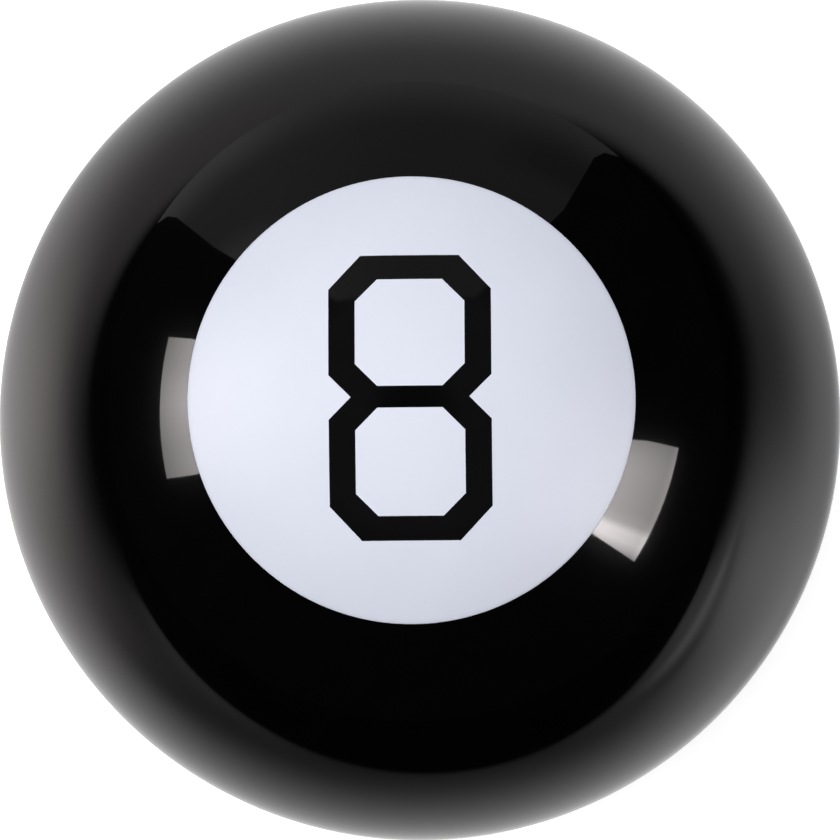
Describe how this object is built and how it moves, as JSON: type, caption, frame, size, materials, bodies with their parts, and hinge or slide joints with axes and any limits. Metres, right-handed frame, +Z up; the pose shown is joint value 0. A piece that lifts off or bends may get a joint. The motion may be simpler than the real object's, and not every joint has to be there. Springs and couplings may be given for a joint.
{
  "type": "hollow numbered novelty ball",
  "caption": "Hollow glossy black ball with a white number disc on top, a flat foot ring round a clear window, and a sealed liquid cell holding a floating die.",
  "frame": {"origin": "middle of the flat foot, at the bottom centre of the bounding box", "axes": "+Z up through the number disc, the ball's turning axis; +Y towards the top of the numeral; +X to the numeral's right"},
  "size_m": [0.1016, 0.1016, 0.0948],
  "materials": {
    "black_gloss": "mirror-gloss moulded polystyrene, near black",
    "white_print": "glossy white print, faintly cool",
    "black_print": "glossy black print",
    "bezel_black": "gloss black, satin where it rubs the table",
    "clear_window": "clear polystyrene",
    "seal_rubber": "matt black sealing rubber",
    "tank_plastic": "natural translucent moulding, satin",
    "plug_plastic": "soft grey stopper",
    "trap_plastic": "satin moulding",
    "die_white": "satin white moulding with raised marks",
    "blue_liquid": "dark blue dyed liquid"
  },
  "bodies": {
    "ball": {"upper_shell": "black_gloss", "lower_shell": "black_gloss", "number_disc": "white_print", "numeral_eight": "black_print", "window_bezel": "bezel_black", "window_lens": "clear_window", "lens_gasket": "seal_rubber", "fluid_tank": "tank_plastic", "tank_lid": "tank_plastic", "filler_plug": "plug_plastic", "bubble_trap": "trap_plastic"},
    "fluid": {"dyed_fluid": "blue_liquid"},
    "die": {"die_half_a": "die_white", "die_half_b": "die_white"}
  },
  "joints": [
    {"name": "fluid_swirl", "type": "hinge", "parent": "ball", "child": "fluid", "pos_m": [0, 0, 0.03], "axis": [0, 0, 1], "continuous": true},
    {"name": "die_float", "type": "slide", "parent": "fluid", "child": "die", "axis": [0, 0, 1], "range_m": [0, 0.0195], "deforming": ["dyed_fluid"]}
  ]
}
